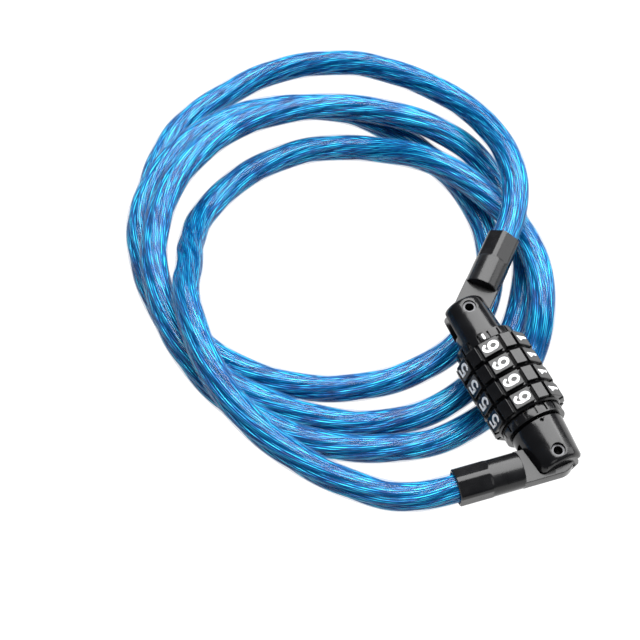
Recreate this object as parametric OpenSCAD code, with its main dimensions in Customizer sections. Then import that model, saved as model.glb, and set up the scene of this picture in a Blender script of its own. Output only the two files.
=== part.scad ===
// Combination cable lock: a dial barrel whose two ends carry pinned ferrules, joined by a
// loosely coiled, plastic-covered steel cable.
// The barrel's axis is X, with the sliding bolt at the +X end. The origin is on that axis, 18.5 mm
// from the bolt's pivot pin, and the lock lies level on its own cable, table_drop above the table.

/* [Cable] */
// Outside diameter of the covered cable
cable_d = 7; // [6:0.5:8]
// Sides of the swept cable tube
cable_sides = 12; // [8:1:12]
// Height of the barrel's axis above the table
table_drop = 17; // [17:0.5:20]

/* [Dials] */
// Diameter across the corners of a dial's faces
dial_d = 18.6; // [18:0.2:19]
// Distance from one dial to the next
dial_pitch = 4.9; // [4.8:0.1:5.2]
// Gap between neighbouring dials
dial_gap = 0.4; // [0.3:0.1:0.6]
// Width of the raised face that carries a figure
pad_w = 3.9; // [3.5:0.1:4.2]
// Width of the groove between two faces
groove_w = 0.9; // [0.7:0.1:1.2]
// Number of figures round a dial, with a blank face after each
figures = 6; // [4:2:6]
// Angle that a figure's face takes up
figure_face = 36; // [32:1:38]
// Turn of the figure that faces up, from straight up towards +Y
rest_turn = 13; // [0:1:20]

/* [Barrel] */
// Outside diameter of the two toothed collars
collar_d = 15; // [14:0.5:16]
// Length of a collar
collar_l = 2.2; // [2:0.1:2.6]
// Diameter of the fixed end next to its collar
housing_d = 13; // [12:0.5:14]
// Diameter of the fixed end at its tip
housing_tip_d = 11; // [10:0.5:12]
// Diameter of the bolt head next to the collar
head_d = 11.4; // [11:0.2:12]
// Diameter of the bolt head at its pivot
head_tip_d = 10.8; // [10:0.2:11]
// Outside diameter of the sleeve that the dials turn on
sleeve_d = 9.1; // [9:0.1:9.4]
// Diameter of the bolt rod
rod_d = 6.3; // [6:0.1:6.4]

/* [Ferrules] */
// Diameter of a ferrule's round part
ferrule_d = 8.4; // [8.2:0.1:8.8]
// Distance from a ferrule's pivot to its mouth
ferrule_l = 24; // [22:0.5:26]
// Thickness of the flat tongue that the pivot pin goes through
tongue_t = 3.2; // [3:0.1:3.6]
// Direction of the bolt-end ferrule, in degrees from +X
bolt_angle = -50; // [-60:1:-40]
// Direction of the fixed-end ferrule, in degrees from +X
housing_angle = 81; // [75:1:90]
// Outside diameter of the tubular pivot pins
pin_d = 3.2; // [3:0.1:3.4]
// Hole through the pivot pins
pin_hole_d = 2; // [1.6:0.1:2.2]

/* [Hidden] */

$fn = 96;
eps = 0.01;                       // overlap that keeps faces from coinciding
cut = 1;                          // how far a cutting solid runs past what it cuts
fit = 0.05;                       // radial clearance of a running fit
press = 0.02;                     // radial clearance of parts that are pressed together
gap = 0.2;                        // end clearance between parts along the barrel
dial_count = 4;
step = 360 / figures;
stack_x = -2;                     // middle of the four dials
stack_half = dial_count * dial_pitch / 2;
collar_in = stack_x + stack_half + gap;   // the bolt collar's face towards the dials
collar_out = collar_in + collar_l;
head_x = collar_out + gap;                // where the bolt head's face meets the collar
housing_collar_x = stack_x - stack_half - gap - collar_l;
bolt_pin_x = 18.5;
housing_pin_x = -23;
band_l = 1.8;                     // length of the blocks round a collar
lap_r = 4.1;                      // radius of a tongue's round end
slot_t = tongue_t + 0.4;          // height of the slot that takes a tongue
shoulder = 8.4;                   // from a ferrule's pivot to its full round
crimp_l = 8;                      // length of a ferrule's crimped part
crimp_flats = 7.9;                // across the crimped flats
socket = 4;                       // depth of cable inside a ferrule
head_round = 1.5;                 // radius of the rounded end of the bolt head
head_tip = bolt_pin_x + 3.2;
head_floor = bolt_pin_x - lap_r - 0.35;
housing_neck = housing_collar_x - gap;
housing_tip = housing_pin_x - 2.6;
slot_floor = housing_pin_x + lap_r + 2.2;  // room for the tongue's corner at full swing
sleeve_end = -16.2;
sleeve_top = collar_out - gap;
sleeve_bore_d = rod_d + 2 * fit + 0.1;
sleeve_pin_x = -15.3;
sleeve_pin_d = 0.9;
ring_groove_x = collar_out - 1.2; // the retaining ring's groove in the sleeve
ring_groove_w = 0.6;
ring_groove_t = 0.45;
ring_t = 0.5;
spring_w = 1.3;
spring_t = 0.2;
gate_d = 12;                      // the ring that each dial carries inside
gate_l = dial_pitch - 0.7;
gate_bore_d = sleeve_d + 2 * fit;
key_w = 1.6;
tooth_w = 1.7;                    // the bolt rod's teeth
tooth_l = 1.8;
tooth_slot_w = 2.1;
rod_tip = -12.5;
rod_spigot_d = 4.4;
rings = 79;                       // lengths that the cable's tube is made of
lay = cable_d / 2 - table_drop;   // height of the cable's middle where it lies on the table

// A point on a ferrule's axis, at distance d from its pivot.
function on_axis(pin_x, angle, d) = [pin_x + d * cos(angle), d * sin(angle), 0];

// The cable's route from the bolt-end ferrule, round the coil, to the fixed-end ferrule.
first = [for (d = [ferrule_l - socket, ferrule_l]) on_axis(bolt_pin_x, bolt_angle, d)];
last = [for (d = [ferrule_l, ferrule_l - socket]) on_axis(housing_pin_x, housing_angle, d)];
turn_1 = [
    [38.1, -22.9, 0.5], [42.6, -26.3, 1.3], [48, -29.2, 1.5], [54.8, -31.3, 0.8],
    [63, -32.3, -1.1], [74, -31.8, -3.7], [89, -26, -6], [105, -14, -9],
    [114, 3, -12], [114, 21, lay], [108, 38, lay], [93, 52, lay], [74, 59, lay], [55, 60, lay],
    [38, 53, lay], [25, 40, lay], [18, 23, lay], [18, 6, lay], [25, -9, lay]
];
turn_2 = [
    [40, -19, lay], [58, -22, lay], [77, -17, lay], [93, -8, lay], [102, 7, -12.5], [103, 24, -9],
    [97, 42, -6], [84, 57, -6], [67, 63, -6.3], [50, 63, -6.8], [34, 58, -9], [20, 46, -12],
    [10, 32, lay], [6, 16, lay], [9, 1, lay]
];
turn_3 = [
    [18, -14, lay], [32, -25, lay], [48, -30, lay], [61, -30, -12.2], [71, -26, -8.9],
    [81, -17, -6.2], [92, -3, -6.2], [96, 13, -4], [94, 30, -1], [85, 47, 0.8], [70, 59, 1.1],
    [53, 64, 0.7], [38, 64, 0.2], [24, 59, -4], [11, 48, -8.5], [2, 33, -11], [-2, 16, -13],
    [1, -1, lay]
];
turn_4 = [
    [8, -13, -11], [18, -21, -6.8], [33, -26, -6.2], [49, -24, -6.2], [65, -17, -6.2],
    [80, -6, -12], [88, 9, lay], [88, 26, -13.3], [81, 41, -11.5], [71, 49, -6.2], [60, 54, 1.4],
    [48, 59.5, 7.5], [29, 62, 8.8], [13, 59, 6], [-1, 51, 2.5], [-12, 41, 0.6], [-17.1, 33, 0.1]
];
route = concat(first, turn_1, turn_2, turn_3, turn_4, last);

// A smooth curve through the route's points: u runs from 0 to the last point's number.
function blend_points(a, b, c, d, t) = 0.5 * (
    2 * b + (c - a) * t + (2 * a - 5 * b + 4 * c - d) * t * t + (3 * b - a - 3 * c + d) * t * t * t
);
function route_at(u) =
    let (n = len(route) - 1, i = min(floor(u), n - 1), b = route[i], c = route[i + 1])
    let (a = i > 0 ? route[i - 1] : 2 * b - c, d = i + 2 <= n ? route[i + 2] : 2 * c - b)
    blend_points(a, b, c, d, u - i);

function unit(v) = v / norm(v);

// One ring of the tube, upright across the direction of travel.
function ring(middle, ahead, r, sides) =
    let (side = unit(cross(ahead, [0, 0, 1])), up = cross(side, ahead))
    [for (k = [0 : sides - 1])
        let (a = 360 * (k + 0.5) / sides)
        middle + r * (cos(a) * side + sin(a) * up)];

// A closed tube through the middles, as one polyhedron.
module tube(middles, r, sides) {
    n = len(middles);
    ahead = [for (i = [0 : n - 1]) unit(middles[min(i + 1, n - 1)] - middles[max(i - 1, 0)])];
    points = [for (i = [0 : n - 1]) each ring(middles[i], ahead[i], r, sides)];
    walls = [for (i = [0 : n - 2], k = [0 : sides - 1])
        let (m = (k + 1) % sides)
        each [
            [i * sides + k, i * sides + m, (i + 1) * sides + m],
            [i * sides + k, (i + 1) * sides + m, (i + 1) * sides + k]
        ]];
    start = [[for (k = [sides - 1 : -1 : 0]) k]];
    finish = [[for (k = [0 : sides - 1]) (n - 1) * sides + k]];
    polyhedron(points, concat(start, walls, finish));
}

// A solid of revolution about X: profile points are [x, radius].
module turned(profile) {
    rotate([0, 90, 0])
        rotate_extrude()
            polygon([for (p = profile) [p[1], p[0]]]);
}

// A cylinder along X from x = from to x = to.
module bar(from, to, d) {
    translate([from, 0, 0])
        rotate([0, 90, 0])
            cylinder(d = d, h = to - from);
}

// A cylinder along Z, centred on the barrel's axis.
module upright(x, d, h) {
    translate([x, 0, -h / 2])
        cylinder(d = d, h = h);
}

// A box from x = from to x = to, centred in Y and Z.
module block(from, to, w, h) {
    translate([from, -w / 2, -h / 2])
        cube([to - from, w, h]);
}

module tubular_pin(x, l) {
    difference() {
        upright(x, pin_d, l);
        upright(x, pin_hole_d, l + 1);
    }
}

module cable() {
    last_point = len(route) - 1;
    color("royalblue")
        tube([for (i = [0 : rings]) route_at(i * last_point / rings)], cable_d / 2, cable_sides);
}

// The fixed end: a tapered, forked body, bored for the sleeve.
module housing() {
    color([0.06, 0.06, 0.07])
        difference() {
            turned([
                [housing_neck, 0], [housing_neck, housing_d / 2 - 0.3],
                [housing_neck - 0.3, housing_d / 2], [housing_tip + 0.8, housing_tip_d / 2 + 0.1],
                [housing_tip + 0.2, housing_tip_d / 2 - 0.3],
                [housing_tip, housing_tip_d / 2 - 0.9], [housing_tip, 0]
            ]);
            block(housing_tip - cut, slot_floor, housing_d + 2 * cut, slot_t);
            upright(housing_pin_x, pin_d + 2 * press, housing_d + 2 * cut);
            bar(sleeve_end - gap, housing_neck + cut, sleeve_d + 2 * press);
            upright(sleeve_pin_x, sleeve_pin_d + 2 * press, housing_d + 2 * cut);
        }
}

module housing_pivot_pin() {
    color("silver")
        tubular_pin(housing_pin_x, housing_tip_d - 1);
}

// Holds the sleeve in the housing.
module sleeve_pin() {
    color("silver")
        upright(sleeve_pin_x, sleeve_pin_d, housing_tip_d + 0.4);
}

// The tube that the dials turn on, slotted for the bolt's teeth.
module spindle_sleeve() {
    color("gainsboro")
        difference() {
            bar(sleeve_end, sleeve_top, sleeve_d);
            bar(rod_tip - 1.2, sleeve_top + cut, sleeve_bore_d);
            translate([rod_tip - 1, -tooth_slot_w / 2, 0])
                cube([sleeve_top - rod_tip + 1 + cut, tooth_slot_w, sleeve_d]);
            difference() {
                bar(ring_groove_x, ring_groove_x + ring_groove_w, sleeve_d + cut);
                bar(ring_groove_x - cut, ring_groove_x + 2 * cut, sleeve_d - 2 * ring_groove_t);
            }
            // the seat of the detent spring
            translate([stack_x - stack_half, -spring_w / 2 - 0.15, -sleeve_d / 2 - cut])
                cube([2 * stack_half, spring_w + 0.3, cut + 0.5]);
            upright(sleeve_pin_x, sleeve_pin_d + 2 * press, sleeve_d + 2 * cut);
        }
}

// A snap ring, open where the bolt's teeth pass.
module retaining_ring() {
    x = ring_groove_x + (ring_groove_w - ring_t) / 2;
    color("silver")
        difference() {
            bar(x, x + ring_t, sleeve_d + 1.8);
            bar(x - cut, x + 2 * cut, sleeve_d - 2 * ring_groove_t + 0.1);
            translate([x - cut, -2, 0])
                cube([3 * cut, 4, sleeve_d]);
        }
}

// A flat spring with a bump under each dial's gate ring, drawn pressed back into its seat.
module detent_spring() {
    bump_l = 1.2;
    floor_z = -sleeve_d / 2 + 0.2;
    color("silver")
        union() {
            translate([stack_x - stack_half + gap, -spring_w / 2, floor_z])
                cube([2 * (stack_half - gap), spring_w, spring_t]);
            for (i = [0 : dial_count - 1])
                translate([dial_x(i) - bump_l / 2, -spring_w / 2, floor_z - 0.15])
                    cube([bump_l, spring_w, 0.3]);
        }
}

// Three washers, one between each two gate rings.
module thrust_washers() {
    washer_t = 0.3;
    color("silver")
        for (x = [for (i = [-1 : 1]) stack_x + i * dial_pitch])
            difference() {
                bar(x - washer_t / 2, x + washer_t / 2, gate_d - 0.6);
                bar(x - cut, x + cut, sleeve_d + 0.1);
            }
}

// A collar whose faces are at from and from + collar_l, with a band of square blocks round it.
module collar(from, band_x) {
    blocks = 18;
    slit_w = 0.5;
    slit_t = 0.6;
    difference() {
        bar(from, from + collar_l, collar_d);
        bar(from - cut, from + collar_l + cut, sleeve_d + 2 * press);
        for (k = [0 : blocks - 1])
            rotate([(k + 0.5) * 360 / blocks - rest_turn, 0, 0])
                translate([band_x, -slit_w / 2, collar_d / 2 - slit_t])
                    cube([band_l + cut, slit_w, slit_t + cut]);
    }
}

module bolt_collar() {
    color([0.09, 0.09, 0.1])
        difference() {
            collar(collar_in, collar_in - cut);
            bar(ring_groove_x - fit, collar_out + cut, sleeve_d + 2.2);
        }
}

module housing_collar() {
    color([0.09, 0.09, 0.1])
        collar(housing_collar_x, housing_collar_x + collar_l - band_l);
}

// The soft ring in the bolt collar's recess that the bolt head closes against.
module bolt_seal() {
    color("dimgray")
        difference() {
            bar(collar_out - 0.45, collar_out - fit, sleeve_d + 1.6);
            bar(collar_out - 2 * cut, collar_out + cut, sleeve_d + 0.1);
        }
}

// Middle of a dial along the barrel: number 0 is nearest the bolt.
function dial_x(i) = stack_x + (1.5 - i) * dial_pitch;

// Corners of a dial's outline: each figure's face and each blank face is a chord.
function outline() = [
    for (k = [0 : figures - 1], side = [-1, 1])
        let (a = k * step + side * figure_face / 2)
        dial_d / 2 * [cos(a), sin(a)]
];

// A dial: a drum with flat faces, separated by grooves, one figure's face turned up.
module dial(i) {
    w = dial_pitch - dial_gap;
    drum_d = dial_d - 2.6;
    color([0.05, 0.05, 0.06])
        translate([dial_x(i), 0, 0])
            difference() {
                union() {
                    bar(-w / 2, w / 2, drum_d);
                    rotate([-rest_turn, 0, 0])
                        difference() {
                            translate([-pad_w / 2, 0, 0])
                                rotate([0, -90, 180])
                                    linear_extrude(pad_w)
                                        polygon(outline());
                            for (k = [0 : figures - 1], side = [-1, 1])
                                rotate([step * k + side * figure_face / 2, 0, 0])
                                    translate([-w, -groove_w / 2, drum_d / 2 - 0.1])
                                        cube([2 * w, groove_w, 2 * cut]);
                        }
                }
                bar(-w, w, gate_d + 2 * fit);
                translate([-w, -key_w / 2 - fit, 0])
                    cube([2 * w, key_w + 2 * fit, gate_d / 2 + 0.65]);
            }
}

// The ring keyed in a dial, with a stop for each figure. One is deeper and is the gate.
module gate_ring(i) {
    stop_w = 1.5;
    stop_h = 0.25;
    gate_h = 0.8;
    color("goldenrod")
        translate([dial_x(i), 0, 0])
            difference() {
                union() {
                    bar(-gate_l / 2, gate_l / 2, gate_d);
                    translate([-gate_l / 2, -key_w / 2, gate_d / 2 - 0.5])
                        cube([gate_l, key_w, 1]);
                }
                bar(-gate_l, gate_l, gate_bore_d);
                for (k = [0 : figures - 1])
                    rotate([180 + step * k, 0, 0])
                        translate([-gate_l, -stop_w / 2, gate_bore_d / 2 - cut])
                            cube([2 * gate_l, stop_w, cut + (k == figures / 2 ? gate_h : stop_h)]);
            }
}

// The forked head of the bolt, with a rounded end.
module bolt_head() {
    round_steps = 8;
    color([0.06, 0.06, 0.07])
        difference() {
            turned(concat(
                [[head_x, 0], [head_x, head_d / 2 - 0.3], [head_x + 0.3, head_d / 2]],
                [for (k = [0 : round_steps])
                    let (a = 90 * (1 - k / round_steps))
                    [head_tip - head_round * (1 - cos(a)),
                        head_tip_d / 2 - head_round * (1 - sin(a))]],
                [[head_tip, 0]]
            ));
            block(head_floor, head_tip + cut, head_d + 2 * cut, slot_t);
            upright(bolt_pin_x, pin_d + 2 * press, head_d + 2 * cut);
            bar(head_x - cut, head_floor - 0.4, rod_spigot_d + 2 * press);
        }
}

// The bolt's rod, with a tooth under each dial, pressed into the head.
module bolt_rod() {
    color("gainsboro")
        union() {
            bar(rod_tip, head_x - 0.1, rod_d);
            bar(head_x - gap, head_floor - 0.45, rod_spigot_d);
            for (i = [0 : dial_count - 1])
                translate([dial_x(i) - tooth_l / 2, -tooth_w / 2, 0])
                    cube([tooth_l, tooth_w, sleeve_d / 2 - 0.1]);
        }
}

module bolt_pivot_pin() {
    color("silver")
        tubular_pin(bolt_pin_x, head_tip_d - 1);
}

// A ferrule with its pivot on the barrel's axis, pointing along the angle.
module ferrule(pin_x, angle) {
    crimp_x = ferrule_l - crimp_l;
    translate([pin_x, 0, 0])
        rotate([0, 0, angle])
            difference() {
                union() {
                    bar(shoulder, crimp_x, ferrule_d);
                    intersection() {
                        bar(crimp_x - eps, ferrule_l, ferrule_d + 0.2);
                        translate([crimp_x - eps, 0, 0])
                            rotate([0, 90, 0])
                                cylinder(d = crimp_flats / cos(30), h = crimp_l + eps, $fn = 6);
                    }
                    upright(0, 2 * lap_r, tongue_t);
                    block(0, shoulder + 1, 2 * lap_r, tongue_t);
                }
                upright(0, pin_d + 2 * fit, tongue_t + 2 * cut);
                bar(ferrule_l - socket - 0.1, ferrule_l + cut, cable_d + 0.2);
            }
}

module bolt_ferrule() {
    color([0.08, 0.08, 0.09])
        ferrule(bolt_pin_x, bolt_angle);
}

module housing_ferrule() {
    color([0.08, 0.08, 0.09])
        ferrule(housing_pin_x, housing_angle);
}

cable();
housing();
housing_pivot_pin();
spindle_sleeve();
sleeve_pin();
bolt_collar();
housing_collar();
retaining_ring();
thrust_washers();
detent_spring();
bolt_seal();
dial(0);  // dial_1
dial(1);  // dial_2
dial(2);  // dial_3
dial(3);  // dial_4
gate_ring(0);  // gate_ring_1
gate_ring(1);  // gate_ring_2
gate_ring(2);  // gate_ring_3
gate_ring(3);  // gate_ring_4
bolt_head();
bolt_rod();
bolt_pivot_pin();
bolt_ferrule();
housing_ferrule();
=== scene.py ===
"""Combination cable lock: the detailed visual model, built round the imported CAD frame.

Lengths are written in millimetres and turned to metres with MM. The barrel lies along X.
"""
import math

import bmesh
import bpy
import numpy as np
from mathutils import Matrix, Vector


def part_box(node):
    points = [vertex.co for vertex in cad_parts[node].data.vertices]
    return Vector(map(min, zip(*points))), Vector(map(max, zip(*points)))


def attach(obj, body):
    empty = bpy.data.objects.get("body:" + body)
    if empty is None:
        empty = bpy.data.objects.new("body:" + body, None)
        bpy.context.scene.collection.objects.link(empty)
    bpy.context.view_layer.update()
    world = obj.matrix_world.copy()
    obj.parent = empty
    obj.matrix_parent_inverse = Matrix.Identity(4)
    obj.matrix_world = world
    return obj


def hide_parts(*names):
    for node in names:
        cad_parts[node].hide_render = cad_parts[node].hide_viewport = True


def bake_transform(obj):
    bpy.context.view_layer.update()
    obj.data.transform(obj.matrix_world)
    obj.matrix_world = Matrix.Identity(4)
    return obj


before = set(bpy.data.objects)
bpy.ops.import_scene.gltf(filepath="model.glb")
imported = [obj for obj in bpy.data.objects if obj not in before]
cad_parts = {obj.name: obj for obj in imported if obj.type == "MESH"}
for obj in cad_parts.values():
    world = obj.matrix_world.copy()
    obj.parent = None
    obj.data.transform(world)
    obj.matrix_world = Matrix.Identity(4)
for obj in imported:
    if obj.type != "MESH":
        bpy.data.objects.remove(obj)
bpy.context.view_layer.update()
MM = 0.001


def middle(node):
    """Middle of a CAD node's box, in metres."""
    low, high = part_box(node)
    return (low + high) / 2


# ---------------------------------------------------------------- camera

CAMERA_AT = Vector((-142.6, 117.7, 338.9)) * MM
CAMERA_TO = Vector((42.1, 27.6, -17.0)) * MM
CAMERA_LENS = 92.6  # on a sensor 36 mm wide


def make_camera():
    data = bpy.data.cameras.new("camera")
    data.lens = CAMERA_LENS
    data.sensor_width = 36
    data.clip_start = 0.01
    camera = bpy.data.objects.new("camera", data)
    camera.location = CAMERA_AT
    camera.rotation_euler = (CAMERA_TO - CAMERA_AT).to_track_quat("-Z", "Y").to_euler()
    bpy.context.scene.collection.objects.link(camera)
    bpy.context.scene.camera = camera


make_camera()

# ---------------------------------------------------------------- the cable's route

CABLE_D = 7.0
FERRULE_L = 24.0  # from a ferrule's pivot to its mouth
SOCKET = 4.0  # depth of cable inside a ferrule
BOLT_ANGLE = -50.0
HOUSING_ANGLE = 81.0
LAY = -13.5  # height of the cable's middle where it lies on the table
BOLT_PIN = middle("bolt_pivot_pin") / MM
HOUSING_PIN = middle("housing_pivot_pin") / MM


def on_axis(pin, angle, distance):
    """A point on a ferrule's axis, in millimetres."""
    a = math.radians(angle)
    return (pin.x + distance * math.cos(a), distance * math.sin(a), 0.0)


TURN_1 = [
    (38.1, -22.9, 0.5), (42.6, -26.3, 1.3), (48, -29.2, 1.5), (54.8, -31.3, 0.8),
    (63, -32.3, -1.1), (74, -31.8, -3.7), (89, -26, -6), (105, -14, -9),
    (114, 3, -12), (114, 21, LAY), (108, 38, LAY), (93, 52, LAY), (74, 59, LAY), (55, 60, LAY),
    (38, 53, LAY), (25, 40, LAY), (18, 23, LAY), (18, 6, LAY), (25, -9, LAY),
]
TURN_2 = [
    (40, -19, LAY), (58, -22, LAY), (77, -17, LAY), (93, -8, LAY), (102, 7, -12.5),
    (103, 24, -9), (97, 42, -6), (84, 57, -6), (67, 63, -6.3), (50, 63, -6.8), (34, 58, -9),
    (20, 46, -12), (10, 32, LAY), (6, 16, LAY), (9, 1, LAY),
]
TURN_3 = [
    (18, -14, LAY), (32, -25, LAY), (48, -30, LAY), (61, -30, -12.2), (71, -26, -8.9),
    (81, -17, -6.2), (92, -3, -6.2), (96, 13, -4), (94, 30, -1), (85, 47, 0.8), (70, 59, 1.1),
    (53, 64, 0.7), (38, 64, 0.2), (24, 59, -4), (11, 48, -8.5), (2, 33, -11), (-2, 16, -13),
    (1, -1, LAY),
]
TURN_4 = [
    (8, -13, -11), (18, -21, -6.8), (33, -26, -6.2), (49, -24, -6.2), (65, -17, -6.2),
    (80, -6, -12), (88, 9, LAY), (88, 26, -13.3), (81, 41, -11.5), (71, 49, -6.2),
    (60, 54, 1.4), (48, 59.5, 7.5), (29, 62, 8.8), (13, 59, 6), (-1, 51, 2.5),
    (-12, 41, 0.6), (-17.1, 33, 0.1),
]
FIRST = [on_axis(BOLT_PIN, BOLT_ANGLE, d) for d in (FERRULE_L - SOCKET, FERRULE_L)]
LAST = [on_axis(HOUSING_PIN, HOUSING_ANGLE, d) for d in (FERRULE_L, FERRULE_L - SOCKET)]
ROUTE = np.array(FIRST + TURN_1 + TURN_2 + TURN_3 + TURN_4 + LAST, float)


def smooth_curve(points, per_span=24):
    """A Catmull-Rom curve through the points."""
    ends = np.vstack([2 * points[0] - points[1], points, 2 * points[-1] - points[-2]])
    t = np.linspace(0, 1, per_span, endpoint=False)[:, None]
    spans = []
    for a, b, c, d in zip(ends, ends[1:], ends[2:], ends[3:]):
        spans.append(0.5 * (
            2 * b + (c - a) * t + (2 * a - 5 * b + 4 * c - d) * t**2
            + (3 * b - a - 3 * c + d) * t**3
        ))
    return np.vstack(spans + [points[-1:]])


def evenly(points, spacing):
    """The same line with points at equal distances, and each one's distance along it."""
    steps = np.linalg.norm(np.diff(points, axis=0), axis=1)
    along = np.concatenate([[0], np.cumsum(steps)])
    count = int(round(along[-1] / spacing)) + 1
    even = np.linspace(0, along[-1], count)
    return np.column_stack([np.interp(even, along, points[:, k]) for k in range(3)]), even


LINE, ALONG = evenly(smooth_curve(ROUTE), 1.3)
AHEAD = np.gradient(LINE, axis=0)
AHEAD /= np.linalg.norm(AHEAD, axis=1)[:, None]
ACROSS = np.cross(AHEAD, (0, 0, 1))
ACROSS /= np.linalg.norm(ACROSS, axis=1)[:, None]
ABOVE = np.cross(ACROSS, AHEAD)
CABLE_L = ALONG[-1]

# ---------------------------------------------------------------- mesh helpers


def new_object(name, points, faces, smooth=True):
    """A mesh object from points in millimetres."""
    mesh = bpy.data.meshes.new(name)
    mesh.from_pydata([tuple(p) for p in np.asarray(points, float) * MM], [], faces)
    mesh.validate()
    if smooth:
        mesh.polygons.foreach_set("use_smooth", [True] * len(mesh.polygons))
    obj = bpy.data.objects.new(name, mesh)
    bpy.context.scene.collection.objects.link(obj)
    return obj


def sweep_faces(rings, sides, first=0):
    """Quads of a tube whose points run ring by ring."""
    faces = []
    for i in range(rings - 1):
        for k in range(sides):
            m = (k + 1) % sides
            a, b = first + i * sides, first + (i + 1) * sides
            faces.append((a + k, a + m, b + m, b + k))
    return faces


def tube_points(line, across, above, radius, sides):
    """Rings of points round a line."""
    angles = np.arange(sides) * 2 * math.pi / sides
    rings = (
        line[:, None]
        + radius * np.cos(angles)[None, :, None] * across[:, None]
        + radius * np.sin(angles)[None, :, None] * above[:, None]
    )
    return rings.reshape(-1, 3)


def shade_by_angle(obj, degrees=35):
    """Smooth shading that keeps edges sharper than the angle, and large faces level."""
    limit = math.radians(degrees)
    work = bmesh.new()
    work.from_mesh(obj.data)
    for face in work.faces:
        face.smooth = True
    for edge in work.edges:
        edge.smooth = len(edge.link_faces) == 2 and edge.calc_face_angle(0) < limit
    work.to_mesh(obj.data)
    work.free()
    level = obj.modifiers.new("level_faces", "WEIGHTED_NORMAL")
    level.keep_sharp = True


# ---------------------------------------------------------------- materials


class Nodes:
    """A short way to write a material's nodes."""

    def __init__(self, name):
        self.material = bpy.data.materials.new(name)
        self.material.use_nodes = True
        self.tree = self.material.node_tree
        self.shader = self.tree.nodes["Principled BSDF"]

    def add(self, kind, **values):
        node = self.tree.nodes.new(kind)
        for key, value in values.items():
            setattr(node, key, value)
        return node

    def link(self, a, b):
        self.tree.links.new(a, b)

    def set(self, **values):
        for key, value in values.items():
            self.shader.inputs[key.replace("_", " ")].default_value = value

    def place(self):
        return self.add("ShaderNodeTexCoord").outputs["Object"]

    def noise(self, scale, detail=4.0, stretch=None):
        """Noise in object space, stretched along X where asked."""
        source = self.place()
        if stretch:
            mapping = self.add("ShaderNodeMapping")
            mapping.inputs["Scale"].default_value = stretch
            self.link(source, mapping.inputs["Vector"])
            source = mapping.outputs["Vector"]
        noise = self.add("ShaderNodeTexNoise")
        noise.inputs["Scale"].default_value = scale
        noise.inputs["Detail"].default_value = detail
        self.link(source, noise.inputs["Vector"])
        return noise.outputs["Fac"]

    def spread(self, source, low, high, start=0.3, stop=0.7):
        """Maps a grey value from start..stop to low..high."""
        node = self.add("ShaderNodeMapRange")
        for key, value in zip(("From Min", "From Max", "To Min", "To Max"), (start, stop, low, high)):
            node.inputs[key].default_value = value
        self.link(source, node.inputs["Value"])
        return node.outputs["Result"]

    def colours(self, source, *stops):
        """Colours along a grey value: stops are (place, colour)."""
        ramp = self.add("ShaderNodeValToRGB")
        elements = ramp.color_ramp.elements
        while len(elements) < len(stops):
            elements.new(0.5)
        for element, (place, colour) in zip(elements, stops):
            element.position = place
            element.color = (*colour, 1)
        self.link(source, ramp.inputs["Fac"])
        return ramp.outputs["Color"]

    def bump(self, source, depth, strength=1.0):
        """Bump of a real depth in millimetres."""
        node = self.add("ShaderNodeBump")
        node.inputs["Strength"].default_value = strength
        node.inputs["Distance"].default_value = depth * MM
        self.link(source, node.inputs["Height"])
        self.link(node.outputs["Normal"], self.shader.inputs["Normal"])


def coated_black(name, tone, rough_low, rough_high, grain=900, depth=0.02):
    """Black coating with a faint orange-peel surface and rubbed patches."""
    n = Nodes(name)
    n.set(IOR=1.4, Coat_Weight=0.2, Coat_Roughness=0.1)
    patches = n.noise(220, 5)
    pale = tuple(1.8 * c for c in tone)
    n.link(n.colours(patches, (0.35, tone), (0.8, pale)), n.shader.inputs["Base Color"])
    n.link(n.spread(patches, rough_low, rough_high), n.shader.inputs["Roughness"])
    n.bump(n.noise(grain, 3), depth, 0.6)
    return n.material


def bare_metal(name, dark, light, rough_low, rough_high, stretch=(1, 1, 1)):
    """Metal with fine turning or drawing lines."""
    n = Nodes(name)
    n.set(Metallic=1.0)
    lines = n.noise(2500, 3, stretch)
    n.link(n.colours(lines, (0.3, dark), (0.7, light)), n.shader.inputs["Base Color"])
    n.link(n.spread(lines, rough_low, rough_high), n.shader.inputs["Roughness"])
    n.bump(lines, 0.01, 0.5)
    return n.material


def painted_figure():
    n = Nodes("figure_white")
    n.set(Specular_IOR_Level=0.4)
    speck = n.noise(1800, 4)
    colour = n.colours(speck, (0.25, (0.78, 0.79, 0.8)), (0.6, (0.93, 0.93, 0.93)))
    n.link(colour, n.shader.inputs["Base Color"])
    n.link(n.spread(speck, 0.35, 0.55), n.shader.inputs["Roughness"])
    n.bump(speck, 0.01, 0.5)
    return n.material


def soft_rubber():
    n = Nodes("seal_rubber")
    dust = n.noise(600, 5)
    colour = n.colours(dust, (0.3, (0.012, 0.012, 0.012)), (0.8, (0.04, 0.04, 0.04)))
    n.link(colour, n.shader.inputs["Base Color"])
    n.link(n.spread(dust, 0.6, 0.85), n.shader.inputs["Roughness"])
    n.bump(dust, 0.02, 0.5)
    return n.material


WIRES = 14  # wires seen round one strand
WIRE_SLANT = 0.016  # turns of a wire round its strand, per millimetre
PAINTED_STREAKS = 9  # bright patches of painted glint and dark patches of painted shade, round one strand
PAINTED_STREAK_L = 60  # that many patches take this length, in millimetres


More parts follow.
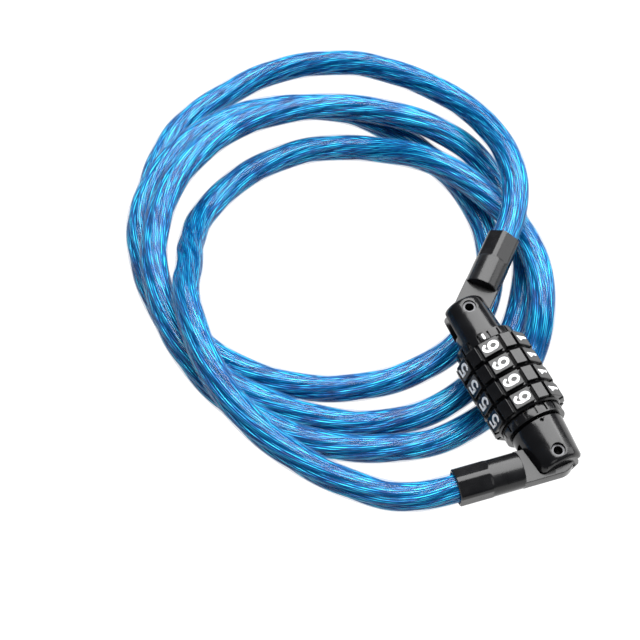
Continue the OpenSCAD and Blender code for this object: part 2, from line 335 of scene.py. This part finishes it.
def steel_strands():
    """Steel strands as they look through the blue vinyl: the wires run along the cable. Their colour holds
    painted glints, bright cyan streaks on the wire crests, and painted shade, near black in the grooves
    between wires.
    """
    n = Nodes("strand_blue_steel")
    n.set(Metallic=0.6, IOR=1.5)
    uv = n.add("ShaderNodeUVMap", uv_map="lay")
    split = n.add("ShaderNodeSeparateXYZ")
    n.link(uv.outputs["UV"], split.inputs["Vector"])
    slant = n.add("ShaderNodeMath", operation="MULTIPLY_ADD")
    slant.inputs[1].default_value = WIRE_SLANT
    n.link(split.outputs["Y"], slant.inputs[0])
    n.link(split.outputs["X"], slant.inputs[2])
    turn = n.add("ShaderNodeMath", operation="MULTIPLY")
    turn.inputs[1].default_value = WIRES * 2 * math.pi
    n.link(slant.outputs[0], turn.inputs[0])
    wave = n.add("ShaderNodeMath", operation="SINE")
    n.link(turn.outputs[0], wave.inputs[0])
    wires = n.spread(wave.outputs[0], 0, 1, -1, 1)
    # painted light: this streak noise lays bright glint streaks and dark streaks into the strand colour
    painted_streak_place = n.add("ShaderNodeMapping")
    painted_streak_place.inputs["Scale"].default_value = (PAINTED_STREAKS, PAINTED_STREAKS / PAINTED_STREAK_L, 1)
    n.link(uv.outputs["UV"], painted_streak_place.inputs["Vector"])
    painted_glint_streaks = n.add("ShaderNodeTexNoise")
    painted_glint_streaks.inputs["Scale"].default_value = 1
    painted_glint_streaks.inputs["Detail"].default_value = 2
    n.link(painted_streak_place.outputs["Vector"], painted_glint_streaks.inputs["Vector"])
    painted_glints = painted_glint_streaks.outputs["Fac"]
    painted_glint_and_shade = n.add("ShaderNodeMath", operation="MULTIPLY")
    n.link(wires, painted_glint_and_shade.inputs[0])
    n.link(n.spread(painted_glints, 0.0, 1.0, 0.36, 0.62), painted_glint_and_shade.inputs[1])
    # painted light: near black where a wire groove or dark streak falls (painted shade), bright cyan where a
    # wire crest meets a glint streak (painted glint)
    colour = n.colours(
        painted_glint_and_shade.outputs[0], (0.0, (0.003, 0.006, 0.06)), (0.35, (0.0, 0.12, 0.36)), (0.9, (0.03, 0.74, 0.95))
    )
    n.link(colour, n.shader.inputs["Base Color"])
    n.link(n.spread(painted_glints, 0.22, 0.42), n.shader.inputs["Roughness"])
    n.bump(wires, 0.12, 0.8)
    return n.material


def blue_vinyl():
    """The clear blue covering: a thin tinted shell with a soft, slightly uneven gloss."""
    n = Nodes("vinyl_clear_blue")
    n.set(IOR=1.7, Alpha=0.2)
    cloud = n.noise(160, 4)
    colour = n.colours(cloud, (0.3, (0.0, 0.16, 0.5)), (0.7, (0.0, 0.25, 0.66)))
    n.link(colour, n.shader.inputs["Base Color"])
    n.link(n.spread(cloud, 0.08, 0.18), n.shader.inputs["Roughness"])
    n.bump(n.noise(320, 3), 0.10, 0.5)
    return n.material


BARREL_BLACK = coated_black("barrel_black", (0.0035, 0.0035, 0.004), 0.16, 0.27)
FERRULE_BLACK = coated_black("ferrule_black", (0.004, 0.004, 0.0045), 0.2, 0.32, 700, 0.02)
DIAL_BLACK = coated_black("dial_black", (0.0035, 0.0035, 0.004), 0.18, 0.28, 1200, 0.015)
PIN_STEEL = bare_metal("pin_steel", (0.05, 0.05, 0.052), (0.11, 0.11, 0.115), 0.35, 0.5, (0.2, 1, 1))
SLEEVE_ZINC = bare_metal("sleeve_zinc", (0.42, 0.43, 0.44), (0.6, 0.6, 0.61), 0.35, 0.55)
GATE_BRASS = bare_metal("gate_brass", (0.55, 0.38, 0.14), (0.78, 0.58, 0.26), 0.25, 0.42)
SEAL_RUBBER = soft_rubber()
FIGURE_WHITE = painted_figure()
STRAND_STEEL = steel_strands()
VINYL_BLUE = blue_vinyl()

# ---------------------------------------------------------------- the cable

STRANDS = 7
STRAND_R = 1.12
STRAND_RING_R = 2.16
STRAND_PITCH = 104.0  # length in which a strand goes once round the cable
JACKET_SIDES = 24
STRAND_SIDES = 8

# The cable is made in three stretches that follow on.
BOLT_END_L = 66.0
BOLT_RUN_L = 190.0
HOUSING_END_L = 120.0


def ease(t):
    t = np.clip(t, 0, 1)
    return t * t * (3 - 2 * t)


def jacket(name, part):
    points = tube_points(LINE[part], ACROSS[part], ABOVE[part], CABLE_D / 2, JACKET_SIDES)
    rings = part.stop - part.start
    obj = new_object(name, points, sweep_faces(rings, JACKET_SIDES))
    obj.data.materials.append(VINYL_BLUE)
    return obj


def strands(name, part):
    """The strands inside a stretch of cable, as one mesh with a map of their lay."""
    line, across, above, along = LINE[part], ACROSS[part], ABOVE[part], ALONG[part]
    rings = len(line)
    points, faces, around, length = [], [], [], []
    for k in range(STRANDS):
        turn = 2 * math.pi * (along / STRAND_PITCH + k / STRANDS)
        out = np.cos(turn)[:, None] * across + np.sin(turn)[:, None] * above
        side = -np.sin(turn)[:, None] * across + np.cos(turn)[:, None] * above
        core = line + STRAND_RING_R * out
        faces += sweep_faces(rings, STRAND_SIDES, k * rings * STRAND_SIDES)
        points.append(tube_points(core, out, side, STRAND_R, STRAND_SIDES))
        around.append(np.tile(np.arange(STRAND_SIDES) / STRAND_SIDES, rings))
        length.append(np.repeat(along, STRAND_SIDES))
    obj = new_object(name, np.vstack(points), faces)
    lay = obj.data.uv_layers.new(name="lay")
    around, length = np.concatenate(around), np.concatenate(length)
    corners = np.zeros(len(obj.data.loops), int)
    obj.data.loops.foreach_get("vertex_index", corners)
    u = around[corners].reshape(-1, 4)
    u[(u.max(1) - u.min(1) > 0.5)[:, None] & (u < 0.5)] += 1  # the quads that close the ring
    lay.data.foreach_set("uv", np.column_stack([u.ravel(), length[corners]]).ravel())
    obj.data.materials.append(STRAND_STEEL)
    return obj


def follow(obj, part, copies, weight):
    """Bakes a swept piece's transform and works out weights for bending it between two bodies by distance
    along the cable; the weights are not applied.
    """
    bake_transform(obj)
    per_ring = len(obj.data.vertices) // (len(ALONG[part]) * copies)
    values = np.tile(np.repeat(weight(ALONG[part]), per_ring), copies)


def cable_stretch(name, start, stop, weight):
    """One stretch of cable from distance start to stop."""
    first = int(np.searchsorted(ALONG, start))
    last = int(np.searchsorted(ALONG, stop - 1e-6))
    part = slice(first, min(last + 1, len(ALONG)))
    cover = jacket(name, part)
    core = strands(name + "_strands", part)
    follow(cover, part, 1, weight)
    follow(core, part, STRANDS, weight)
    return cover


cable_stretch(
    "cable_bolt_end", 0, BOLT_END_L,
    lambda s: 1 - ease((s - 1.5 * SOCKET) / (BOLT_END_L - 1.5 * SOCKET)),
)
cable_stretch(
    "cable_bolt_run", BOLT_END_L, BOLT_RUN_L,
    lambda s: 1 - ease((s - BOLT_END_L) / (BOLT_RUN_L - BOLT_END_L)),
)
coil = cable_stretch(
    "cable_coil", BOLT_RUN_L, CABLE_L,
    lambda s: ease((s - (CABLE_L - HOUSING_END_L)) / (HOUSING_END_L - 1.5 * SOCKET)),
)
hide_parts("cable")

# ---------------------------------------------------------------- the dials

DIAL_D = 18.6  # across the corners of the faces
FIGURE_COUNT = 6
STEP = 2 * math.pi / FIGURE_COUNT
FIGURE_FACE = math.radians(36)  # the rest of a step is a blank face
REST_TURN = math.radians(13)  # how far the figure's face leans from straight up towards +Y
FACE_R = DIAL_D / 2 * math.cos(FIGURE_FACE / 2)
DRUM_R = 8.0
BORE_R = 6.05
DRUM_W = 4.5
DRUM_EDGE_W = 0.3
DRUM_EDGE_H = 0.35
PAD_W = 3.9
PAD_BEVEL = 0.2
PAD_SINK = 0.25  # how far the pads reach into the drum
GROOVE_W = 0.9
TOP_DIGIT = 6
FIGURE_H = 4.1
FIGURE_W = 2.5
STROKE = 0.64
FIGURE_RISE = 0.05


def turned(work, profile, segments=96):
    """Adds a closed profile of (x, radius), turned about X, to a bmesh."""
    rings = []
    for k in range(segments):
        a = 2 * math.pi * k / segments
        rings.append([work.verts.new((x, r * math.sin(a), r * math.cos(a))) for x, r in profile])
    for k in range(segments):
        here, there = rings[k], rings[(k + 1) % segments]
        for i in range(len(profile)):
            j = (i + 1) % len(profile)
            work.faces.new((here[i], there[i], there[j], here[j]))


def bevelled_block(work, sections, bevel, segments=3):
    """Adds a block with (z, width in x, width in y) at its bottom and top, edges rounded."""
    corners = []
    for z, wx, wy in sections:
        corners.append([
            work.verts.new((sx * wx / 2, sy * wy / 2, z))
            for sx, sy in ((-1, -1), (1, -1), (1, 1), (-1, 1))
        ])
    low, high = corners
    faces = [work.faces.new(reversed(low)), work.faces.new(high)]
    for k in range(4):
        m = (k + 1) % 4
        faces.append(work.faces.new((low[k], low[m], high[m], high[k])))
    edges = list({e for f in faces for e in f.edges if not all(v in low for v in e.verts)})
    made = bmesh.ops.bevel(
        work, geom=edges, offset=bevel, segments=segments, profile=0.5, affect="EDGES",
        clamp_overlap=True,
    )
    verts = set(made["verts"]) | {v for f in faces if f.is_valid for v in f.verts}
    return list(verts)


def from_bmesh(name, work):
    """A mesh object from a bmesh in millimetres."""
    bmesh.ops.recalc_face_normals(work, faces=work.faces)
    bmesh.ops.scale(work, vec=(MM, MM, MM), verts=work.verts)
    mesh = bpy.data.meshes.new(name)
    work.to_mesh(mesh)
    work.free()
    obj = bpy.data.objects.new(name, mesh)
    bpy.context.scene.collection.objects.link(obj)
    return obj


def face_turn(k):
    """Turns face k into its place: face 0 is on top and the next is towards +Y."""
    return Matrix.Rotation(-k * STEP - REST_TURN, 4, "X")


def dial_body(number):
    """A dial's drum with rounded pads: a wide one for each figure and a blank one after it."""
    work = bmesh.new()
    r, w = DRUM_R, DRUM_W / 2
    flat, low = w - DRUM_EDGE_W, r - DRUM_EDGE_H
    turned(work, [(-w, BORE_R), (w, BORE_R), (w, low), (flat, r), (-flat, r), (-w, low)])
    bottom = r - PAD_SINK
    for place, angle in ((0, FIGURE_FACE), (0.5, STEP - FIGURE_FACE)):
        top = DIAL_D / 2 * math.cos(angle / 2)
        chord = 2 * math.tan(angle / 2)
        sections = [(z, PAD_W, z * chord - GROOVE_W) for z in (bottom, top)]
        for k in range(FIGURE_COUNT):
            pad = bevelled_block(work, sections, PAD_BEVEL)
            bmesh.ops.transform(work, matrix=face_turn(k + place), verts=pad)
    obj = from_bmesh(f"dial_{number}_body", work)
    obj.location = (middle(f"dial_{number}").x, 0, 0)
    shade_by_angle(obj, 30)
    obj.data.materials.append(DIAL_BLACK)
    return obj


def arc(cx, cy, rx, ry, start, stop, steps=14):
    """Points of an elliptical arc, angles in degrees."""
    return [
        (cx + rx * math.cos(math.radians(a)), cy + ry * math.sin(math.radians(a)))
        for a in np.linspace(start, stop, steps)
    ]


# Each figure's strokes in a box one high and one wide, with its middle at the origin.
FIGURES = {
    1: [[(-0.3, 0.28), (0.1, 0.5), (0.1, -0.5)]],
    2: [arc(0, 0.22, 0.46, 0.28, 165, -35) + [(-0.48, -0.5), (0.5, -0.5)]],
    3: [arc(-0.04, 0.25, 0.44, 0.25, 150, -90), arc(-0.04, -0.25, 0.5, 0.25, 90, -150)],
    4: [[(0.22, -0.5), (0.22, 0.5)], [(0.22, 0.5), (-0.5, -0.2)], [(-0.5, -0.22), (0.5, -0.22)]],
    5: [[(0.42, 0.5), (-0.4, 0.5), (-0.44, 0.06)], [(-0.44, 0.06)] + arc(-0.02, -0.19, 0.5, 0.31, 125, -145)],
    6: [arc(0, -0.2, 0.48, 0.3, 180, 540, 25), [(-0.48, -0.2)] + arc(0, 0.1, 0.48, 0.4, 175, 35)],
}


def ribbon(points, faces, line, half, low, high):
    """Adds a flat raised stroke along a line of (x, y), round at its ends."""
    line = np.array(line, float)
    closed = np.linalg.norm(line[0] - line[-1]) < 1e-6
    if closed:
        line = line[:-1]
        ahead = np.roll(line, -1, 0) - np.roll(line, 1, 0)
    else:
        ahead = np.gradient(line, axis=0)
    ahead /= np.linalg.norm(ahead, axis=1)[:, None]
    left = np.column_stack([-ahead[:, 1], ahead[:, 0]]) * half
    outline = np.vstack([line + left, (line - left)[::-1]])
    count = len(line)
    if not closed:
        caps = []
        for end, way in ((line[-1], ahead[-1]), (line[0], -ahead[0])):
            start = math.atan2(way[1], way[0]) + math.pi / 2
            caps.append([
                end + half * np.array((math.cos(start - t), math.sin(start - t)))
                for t in np.linspace(0, math.pi, 9)[1:-1]
            ])
        outline = np.vstack([outline[:count], caps[0], outline[count:], caps[1]])
    first = len(points)
    total = len(outline)
    for z in (high, low):
        points.extend((x, y, z) for x, y in outline)
    if closed:
        top = [(i, (i + 1) % count, total - 1 - (i + 1) % count, total - 1 - i) for i in range(count)]
        walls = [((i + 1) % count, i) for i in range(count)]
        walls += [(total - 1 - i, total - 1 - (i + 1) % count) for i in range(count)]
    else:
        top = [tuple(range(total))[::-1]]
        walls = [((i + 1) % total, i) for i in range(total)]
    faces.extend(tuple(first + i for i in f) for f in top)
    faces.extend((first + a, first + b, first + b + total, first + a + total) for a, b in walls)


def dial_figures(number):
    """The white figures of a dial, one on each wide face."""
    points, faces = [], []
    for k in range(FIGURE_COUNT):
        before = len(points)
        for stroke in FIGURES[TOP_DIGIT - k]:
            # a figure reads along +X, and its top is towards the next lower figure
            line = [(x * (FIGURE_W - STROKE), y * (FIGURE_H - STROKE)) for x, y in stroke]
            ribbon(points, faces, line, STROKE / 2, FACE_R - 0.1, FACE_R + FIGURE_RISE)
        turn = face_turn(k)
        points[before:] = [tuple(turn @ Vector(p)) for p in points[before:]]
    obj = new_object(f"dial_{number}_figures", points, faces, smooth=False)
    obj.location = (middle(f"dial_{number}").x, 0, 0)
    work = bmesh.new()
    work.from_mesh(obj.data)
    bmesh.ops.recalc_face_normals(work, faces=work.faces)
    work.to_mesh(obj.data)
    work.free()
    obj.data.materials.append(FIGURE_WHITE)
    return obj


for number in range(1, 5):
    body = dial_body(number)
    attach(body, f"dial_{number}")
    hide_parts(f"dial_{number}")
    figures = dial_figures(number)
    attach(figures, f"dial_{number}")

# ---------------------------------------------------------------- the index line

INDEX_L = 1.0
INDEX_HALF_W = 0.28
INDEX_INSET = 0.95  # from the collar's face towards the dials to the line's middle


def index_line():
    """A short white line on the bolt collar, in line with the row of figures on top."""
    low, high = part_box("bolt_collar")
    radius = high.z / MM
    points, faces = [], []
    line = [(-INDEX_L / 2, 0), (INDEX_L / 2, 0)]
    ribbon(points, faces, line, INDEX_HALF_W, radius - 0.15, radius + FIGURE_RISE)
    obj = new_object("index_line", points, faces, smooth=False)
    obj.location = (low.x + INDEX_INSET * MM, 0, 0)
    obj.rotation_euler.x = -REST_TURN
    obj.data.materials.append(FIGURE_WHITE)
    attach(obj, "lock_body")


index_line()

# ---------------------------------------------------------------- the ferrules

SHOULDER = 8.4  # from a ferrule's pivot to its full round
CRIMP_X = 16.0
FERRULE_R = 4.2
CRIMP_R = 4.3
CRIMP_FLAT = 3.95
MOUTH_R = 3.6
TONGUE_R = 4.1
TONGUE_T = 3.2
TONGUE_HOLE_R = 1.65


def loft(work, rings, closed=False):
    """Joins rings of equal counts. The last ring is joined to the first, or filled."""
    verts = [[work.verts.new(p) for p in ring] for ring in rings]
    pairs = list(zip(verts, verts[1:])) + ([(verts[-1], verts[0])] if closed else [])
    for here, there in pairs:
        for k in range(len(here)):
            m = (k + 1) % len(here)
            work.faces.new((here[k], here[m], there[m], there[k]))
    if not closed:
        work.faces.new(verts[0])
        work.faces.new(verts[-1])


def body_ring(x, radius, crimped=0.0, sides=96):
    """A ring round the ferrule's axis, between round (0) and six crimped flats (1)."""
    ring = []
    for k in range(sides):
        a = 2 * math.pi * k / sides
        flat = CRIMP_FLAT / math.cos(a % (math.pi / 3) - math.pi / 6) - CRIMP_R
        r = radius + crimped * min(0, flat)
        ring.append((x, r * math.sin(a), r * math.cos(a)))
    return ring


def tongue_ring(inset, z, sides=96):
    """The tongue's outline, round at the pivot and straight up to the shoulder."""
    ring = []
    for k in range(sides):
        a = 2 * math.pi * (k + 0.5) / sides
        c, s = math.cos(a), abs(math.sin(a))
        r = TONGUE_R - inset
        if c > 0:
            r = min((SHOULDER + 1) / c, r / s)
        ring.append((r * c, r * math.sin(a), z))
    return ring


def ferrule(end, pin, angle):
    """A ferrule: crimped mouth, round body and a flat tongue that the pivot pin goes through."""
    work = bmesh.new()
    mouth = FERRULE_L
    loft(work, [
        body_ring(mouth - SOCKET, MOUTH_R), body_ring(mouth - 0.25, MOUTH_R),
        body_ring(mouth, MOUTH_R + 0.12, 0.3), body_ring(mouth, CRIMP_R - 0.25, 1),
        body_ring(mouth - 0.2, CRIMP_R, 1), body_ring(CRIMP_X + 0.5, CRIMP_R, 1),
        body_ring(CRIMP_X + 0.2, CRIMP_R - 0.02, 0.5), body_ring(CRIMP_X - 0.1, FERRULE_R),
        body_ring(SHOULDER + 0.45, FERRULE_R), body_ring(SHOULDER + 0.15, FERRULE_R - 0.12),
        body_ring(SHOULDER, FERRULE_R - 0.45),
    ])
    half = TONGUE_T / 2
    hole = [
        [(r * math.cos(a), r * math.sin(a), z) for a in (np.arange(96) + 0.5) * math.pi / 48]
        for r, z in (
            (TONGUE_HOLE_R + 0.15, -half), (TONGUE_HOLE_R, 0.15 - half),
            (TONGUE_HOLE_R, half - 0.15), (TONGUE_HOLE_R + 0.15, half),
        )
    ]
    loft(work, hole + [
        tongue_ring(0.3, half), tongue_ring(0.08, half - 0.08), tongue_ring(0, half - 0.3),
        tongue_ring(0, 0.3 - half), tongue_ring(0.08, 0.08 - half), tongue_ring(0.3, -half),
    ], closed=True)
    obj = from_bmesh(f"{end}_ferrule_body", work)
    shade_by_angle(obj, 32)
    obj.rotation_euler.z = math.radians(angle)
    obj.location = (pin.x * MM, 0, 0)
    obj.data.materials.append(FERRULE_BLACK)
    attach(obj, f"{end}_ferrule")
    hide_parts(f"{end}_ferrule")


ferrule("bolt", BOLT_PIN, BOLT_ANGLE)
ferrule("housing", HOUSING_PIN, HOUSING_ANGLE)

# ---------------------------------------------------------------- finish on the CAD parts

FINISHES = {
    "housing": (BARREL_BLACK, 0.18), "bolt_head": (BARREL_BLACK, 0.18),
    "bolt_collar": (BARREL_BLACK, 0.08), "housing_collar": (BARREL_BLACK, 0.08),
    "housing_pivot_pin": (PIN_STEEL, 0.12), "bolt_pivot_pin": (PIN_STEEL, 0.12),
    "sleeve_pin": (BARREL_BLACK, 0.1), "retaining_ring": (PIN_STEEL, 0.05),
    "thrust_washers": (PIN_STEEL, 0.05), "detent_spring": (PIN_STEEL, 0.03),
    "spindle_sleeve": (SLEEVE_ZINC, 0.08), "bolt_rod": (SLEEVE_ZINC, 0.12),
    "bolt_seal": (SEAL_RUBBER, 0.05),
    "gate_ring_1": (GATE_BRASS, 0.05), "gate_ring_2": (GATE_BRASS, 0.05),
    "gate_ring_3": (GATE_BRASS, 0.05), "gate_ring_4": (GATE_BRASS, 0.05),
}


def finish_part(node, material, bevel):
    """Gives a CAD part its material and softens its edges."""
    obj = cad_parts[node]
    obj.data.materials.clear()
    obj.data.materials.append(material)
    weld = obj.modifiers.new("weld", "WELD")
    weld.merge_threshold = 0.001 * MM
    soft = obj.modifiers.new("soft_edges", "BEVEL")
    soft.width = bevel * MM
    soft.segments = 3
    soft.limit_method = "ANGLE"
    soft.angle_limit = math.radians(38)
    soft.harden_normals = True


for node, (material, bevel) in FINISHES.items():
    finish_part(node, material, bevel)

# ---------------------------------------------------------------- stage and light

TABLE_Z = LAY - CABLE_D / 2


def make_floor():
    """A plain pale table top."""
    half = 1500
    corners = [(-half, -half, TABLE_Z), (half, -half, TABLE_Z), (half, half, TABLE_Z), (-half, half, TABLE_Z)]
    floor = new_object("table_top", corners, [(0, 1, 2, 3)], smooth=False)
    n = Nodes("table_white")
    n.set(Roughness=0.9, Specular_IOR_Level=0.1, Emission_Strength=1.05)
    n.shader.inputs["Base Color"].default_value = (0.06, 0.06, 0.06, 1)
    n.shader.inputs["Emission Color"].default_value = (1, 1, 1, 1)
    floor.data.materials.append(n.material)


def soft_box(name, place, size, power, target=(45, 15, 0)):
    """A square lamp at place, facing the target, in millimetres."""
    data = bpy.data.lights.new(name, "AREA")
    data.size = size * MM
    data.energy = power
    lamp = bpy.data.objects.new(name, data)
    lamp.location = Vector(place) * MM
    way = (Vector(target) - Vector(place)) * MM
    lamp.rotation_euler = way.to_track_quat("-Z", "Y").to_euler()
    bpy.context.scene.collection.objects.link(lamp)


def make_world():
    world = bpy.data.worlds.new("studio")
    world.use_nodes = True
    shade = world.node_tree.nodes["Background"]
    shade.inputs["Color"].default_value = (0.85, 0.9, 1.0, 1)
    shade.inputs["Strength"].default_value = 0.12
    bpy.context.scene.world = world


make_floor()
make_world()
soft_box("top_light", (250, -215, 545), 800, 14.0)
soft_box("side_light", (-60, -460, 200), 300, 0.8)
soft_box("front_light", (-380, 220, 420), 260, 0.3)
bpy.context.scene.view_settings.view_transform = "Standard"  # the colours are set for this
